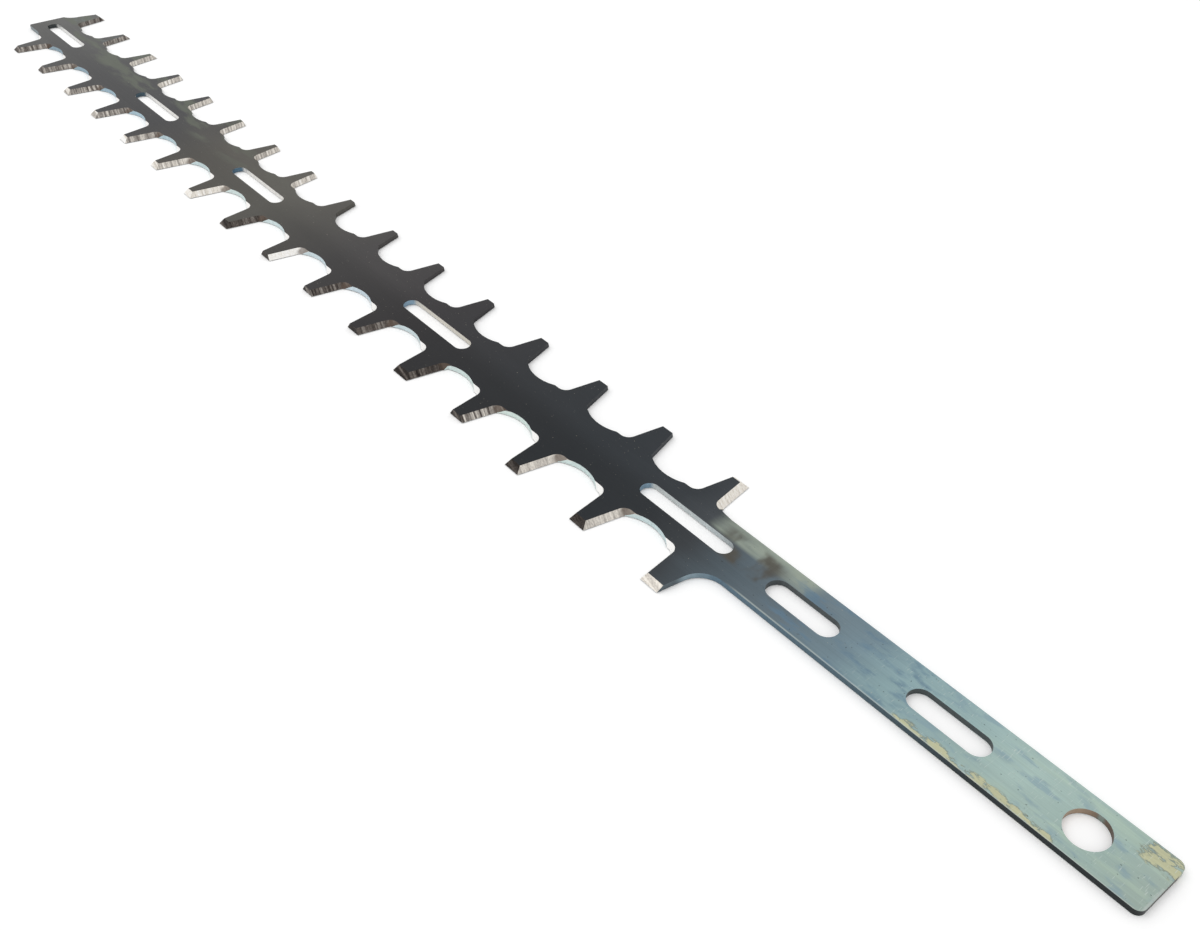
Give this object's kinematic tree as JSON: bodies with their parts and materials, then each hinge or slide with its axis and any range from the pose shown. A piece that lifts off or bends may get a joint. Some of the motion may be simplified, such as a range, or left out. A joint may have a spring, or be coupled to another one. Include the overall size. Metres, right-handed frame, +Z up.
{
  "type": "hedge trimmer cutting blade",
  "caption": "Long flat double-sided cutting blade of a hedge trimmer with ground teeth, guide slots and a drive hole in its tang.",
  "frame": {"origin": "axis of the round drive hole, on the flat underside where the ground edges cut", "axes": "+X along the blade from the tang to the nose, +Y across it towards the left row of teeth, +Z up out of the sheet"},
  "size_m": [0.7118, 0.0568, 0.002],
  "materials": {
    "steel": "heat-blued and brushed"
  },
  "bodies": {
    "root": {"blade": "steel"}
  },
  "joints": []
}
